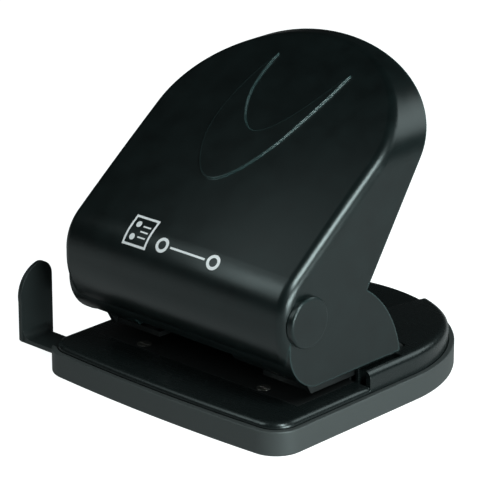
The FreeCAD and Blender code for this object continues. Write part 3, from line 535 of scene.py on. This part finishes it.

# %% [markdown]
# Each spring stands on the guide and carries a pin's head. The whole coil is attached to the base and
# keeps its full height when the pin moves.

# %% Wind and seat both springs
SPRING_TURNS = 7.0
SPRING_WIRE_RADIUS = 0.45 * MM
for side in ("left", "right"):
    node = f"return_spring_{side}"
    low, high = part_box(node)
    spring = plain_mesh(f"coil_spring_{side}", winding, {
        "Coil Radius": (high.x - low.x) / 2 - SPRING_WIRE_RADIUS, "Wire Radius": SPRING_WIRE_RADIUS,
        "Height": high.z - low.z, "Turns": SPRING_TURNS})
    middle = (low + high) / 2
    spring.data.transform(Matrix.Translation((middle.x, middle.y, low.z)))
    pin_travel = next(j for j in frame["joints"] if j["name"] == f"pin_{side}_slide")["range_m"][1]
    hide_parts(node)
    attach(spring, "base")
    1 - pin_travel / (high.z - low.z)
    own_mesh(spring)
    print(f"{spring.name}: {len(spring.data.polygons)} faces, closes by {pin_travel / MM:.2f} mm")

# %% [markdown]
# ## Marks on the paper guide
#
# The guide clicks into place for each paper size, and a short line across the strip shows where.
# Equal things at an equal pitch are one small bar and a row of points, so a second tree puts a copy
# of the bar at every point.

# %% A tree that repeats a tick
def tick_tree():
    sizes = ["Count", "Pitch", "Length", "Width", "Height"]
    group, tree, size, exit_node = new_geometry_tree("repeat_tick", sizes)
    offset = tree.node("ShaderNodeCombineXYZ", {}, {0: size["Pitch"], 1: 0.0, 2: 0.0})
    row = tree.node("GeometryNodeMeshLine", {}, {"Count": size["Count"], "Offset": offset})
    extent = tree.node("ShaderNodeCombineXYZ", {}, {0: size["Width"], 1: size["Length"], 2: size["Height"]})
    bar = tree.node("GeometryNodeMeshCube", {}, {"Size": extent})
    many = tree.node("GeometryNodeInstanceOnPoints", {}, {"Points": row, "Instance": bar})
    real = tree.node("GeometryNodeRealizeInstances", {}, {0: many})
    done = tree.node("GeometryNodeSetMaterial", {}, {"Geometry": real, "Material": guide_plastic})
    tree.links.new(done.socket, exit_node.inputs[0])
    return group


TICK_PITCH = 21.5 * MM
TICK_COUNT = 4
TICK_LENGTH, TICK_WIDTH, TICK_HEIGHT = 6 * MM, 0.5 * MM, 0.3 * MM
FIRST_TICK = Vector((24.2, 6.7, 1.7)) * MM
guide_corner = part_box("paper_guide")[0]
ticks = plain_mesh("guide_ticks", tick_tree(), {
    "Count": TICK_COUNT, "Pitch": TICK_PITCH,
    "Length": TICK_LENGTH, "Width": TICK_WIDTH, "Height": TICK_HEIGHT})
ticks.data.transform(Matrix.Translation(guide_corner + FIRST_TICK))
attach(ticks, "guide")
print("guide ticks:", TICK_COUNT)

# %% [markdown]
# ## The printed pictogram
#
# The nose carries a pad-printed mark. Ours says what the tool does, without a word: a sheet with its
# two holes, and two rings joined by a line, which stands for the distance between them. We draw flat
# shapes first, cut finely so that they can bend, and then drop every point onto the curved nose along
# the print's own direction, like ink pressed on by a soft pad.

# %% White ink
def printed_ink():
    look = Finish("white_ink")
    patchy = look.speckle(0.8 * MM, 3.0)
    shade = look.tint(0.5 * patchy, (0.86, 0.87, 0.88), (0.62, 0.64, 0.65))
    return look.finish(Base_Color=shade, Roughness=0.38 + 0.1 * patchy)


ink = printed_ink()
print("ink:", ink.name)

# %% Flat shapes for the print
STEP = 0.6 * MM
RING_SIDES = 40


def add_bar(mesh, x0, x1, y0, y1):
    """A rectangle cut into a grid of small faces."""
    nx = max(1, math.ceil((x1 - x0) / STEP))
    ny = max(1, math.ceil((y1 - y0) / STEP))
    rows = [[mesh.verts.new((x0 + (x1 - x0) * i / nx, y0 + (y1 - y0) * j / ny, 0)) for i in range(nx + 1)]
            for j in range(ny + 1)]
    for low_row, high_row in zip(rows, rows[1:]):
        for i in range(nx):
            mesh.faces.new((low_row[i], low_row[i + 1], high_row[i + 1], high_row[i]))


def add_ring(mesh, x, y, inner, outer):
    """A flat ring, or a disc when inner is nearly nothing."""
    angles = [2 * math.pi * k / RING_SIDES for k in range(RING_SIDES)]
    rings = [[mesh.verts.new((x + radius * math.cos(a), y + radius * math.sin(a), 0)) for a in angles]
             for radius in (inner, (inner + outer) / 2, outer)]
    for near, far in zip(rings, rings[1:]):
        for k in range(RING_SIDES):
            j = (k + 1) % RING_SIDES
            mesh.faces.new((near[k], far[k], far[j], near[j]))


# %% Draw the sheet and the two rings
SHEET_LEFT, SHEET_RIGHT = -23.5 * MM, -11.5 * MM
SHEET_LOW, SHEET_HIGH = -6.0 * MM, 6.0 * MM
OUTLINE = 0.9 * MM
HOLE_INSET, HOLE_OFFSET, HOLE_RADIUS = 3.6 * MM, 2.6 * MM, 1.25 * MM
DISC_CENTRE_RADIUS = 0.02 * MM
TEXT_LINE_PITCH, TEXT_LINE_HALF = 2.2 * MM, 0.3 * MM
TEXT_LINE_START, TEXT_LINE_INSET = 2.6 * MM, 2.0 * MM
RING_XS, RING_Y = (-4.6 * MM, 20.0 * MM), -2.2 * MM
RING_INNER, RING_OUTER = 1.7 * MM, 2.9 * MM
LINK_GAP, LINK_HALF = 4.0 * MM, 0.4 * MM


def draw_sheet(mesh):
    """An outline with two holes at its left and three lines of writing at its right."""
    add_bar(mesh, SHEET_LEFT, SHEET_RIGHT, SHEET_LOW, SHEET_LOW + OUTLINE)
    add_bar(mesh, SHEET_LEFT, SHEET_RIGHT, SHEET_HIGH - OUTLINE, SHEET_HIGH)
    for left in (SHEET_LEFT, SHEET_RIGHT - OUTLINE):
        add_bar(mesh, left, left + OUTLINE, SHEET_LOW + OUTLINE, SHEET_HIGH - OUTLINE)
    hole_x = SHEET_LEFT + HOLE_INSET
    for y in (-HOLE_OFFSET, HOLE_OFFSET):
        add_ring(mesh, hole_x, y, DISC_CENTRE_RADIUS, HOLE_RADIUS)
    for y in (-TEXT_LINE_PITCH, 0.0, TEXT_LINE_PITCH):
        add_bar(mesh, hole_x + TEXT_LINE_START, SHEET_RIGHT - TEXT_LINE_INSET,
                y - TEXT_LINE_HALF, y + TEXT_LINE_HALF)


def draw_rings(mesh):
    """Two rings and the line that joins them."""
    for x in RING_XS:
        add_ring(mesh, x, RING_Y, RING_INNER, RING_OUTER)
    add_bar(mesh, RING_XS[0] + LINK_GAP, RING_XS[1] - LINK_GAP, RING_Y - LINK_HALF, RING_Y + LINK_HALF)


drawing = bmesh.new()
draw_sheet(drawing)
draw_rings(drawing)
print("flat drawing has", len(drawing.faces), "faces")


# %% Press the print onto the nose
PRINT_CENTRE = Vector((0.0, -53.0, 61.1)) * MM
PRINT_LEAN = math.radians(38)
PRINT_LIFT, PRINT_THICKNESS = 0.04 * MM, 0.06 * MM
PRESS_FROM = 20 * MM


def press_onto(mesh, target, centre, across, upwards):
    """Moves each point of a flat drawing onto the target, along the way that the drawing faces."""
    facing = across.cross(upwards).normalized()
    surface = BVHTree.FromObject(target, bpy.context.evaluated_depsgraph_get())
    for vert in mesh.verts:
        start = centre + across * vert.co.x + upwards * vert.co.y + facing * PRESS_FROM
        hit = surface.ray_cast(start, -facing)[0]
        vert.co = hit + facing * PRINT_LIFT


lean = Vector((0, math.sin(PRINT_LEAN), math.cos(PRINT_LEAN)))
press_onto(drawing, frame["nodes"]["handle_shell"], PRINT_CENTRE, Vector((1, 0, 0)), lean)
print_mesh = bpy.data.meshes.new("printed_pictogram")
drawing.to_mesh(print_mesh)
drawing.free()
pictogram_piece = bpy.data.objects.new("printed_pictogram", print_mesh)
scene.collection.objects.link(pictogram_piece)
film = pictogram_piece.modifiers.new("film", "SOLIDIFY")
film.thickness = PRINT_THICKNESS
film.offset = -1.0
print_mesh.materials.append(ink)
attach(pictogram_piece, "handle")
print("print has", len(print_mesh.polygons), "faces")

# %% [markdown]
# ## Floor and surroundings
#
# The floor is a plain white sheet and the room is white too, but a bright room all round would turn
# black plastic grey. So both are bright only where the camera looks straight at them. To every other
# ray, such as one that bounces off the plastic, they are dim, and the panels do the lighting.

# %% Floor and world
FLOOR_HALF = 6.0
SEEN_GLOW = 1.0
FLOOR_GLOW, ROOM_GLOW = 0.11, 0.015
WHITE = (1.0, 1.0, 1.0, 1.0)


def seen_or_felt(tree, felt, seen):
    """One shader for the camera's own rays and another for all the others."""
    is_camera_ray = tree.node("ShaderNodeLightPath", out=0)
    return tree.node("ShaderNodeMixShader", {}, {0: is_camera_ray, 1: felt, 2: seen})


def studio_floor():
    look = Finish("studio_floor")
    mottle = look.speckle(60 * MM, 2.0)
    shade = look.tint(0.3 * mottle, (0.45, 0.45, 0.45), (0.42, 0.42, 0.42))
    shared = {"Base Color": shade, "Roughness": 0.85, "Emission Color": (0.97, 1.0, 1.0, 1.0)}
    felt, seen = [look.node("ShaderNodeBsdfPrincipled", {}, {**shared, "Emission Strength": glow})
                  for glow in (FLOOR_GLOW, SEEN_GLOW)]
    look.node("ShaderNodeOutputMaterial", {}, {"Surface": seen_or_felt(look, felt, seen)})
    return look.material


floor_mesh = bpy.data.meshes.new("floor")
floor_mesh.from_pydata([(-FLOOR_HALF, -FLOOR_HALF, 0), (FLOOR_HALF, -FLOOR_HALF, 0),
                        (FLOOR_HALF, FLOOR_HALF, 0), (-FLOOR_HALF, FLOOR_HALF, 0)], [], [(0, 1, 2, 3)])
floor = bpy.data.objects.new("floor", floor_mesh)
floor_mesh.materials.append(studio_floor())
scene.collection.objects.link(floor)

world = bpy.data.worlds.new("surroundings")
scene.world = world
world.use_nodes = True
air = Tree(world.node_tree)
air.nodes.clear()
dim, bright = [air.node("ShaderNodeBackground", {}, {"Color": WHITE, "Strength": glow})
               for glow in (ROOM_GLOW, SEEN_GLOW)]
air.node("ShaderNodeOutputWorld", {}, {"Surface": seen_or_felt(air, dim, bright)})
scene.view_settings.view_transform = "Standard"
print("floor and surroundings ready")
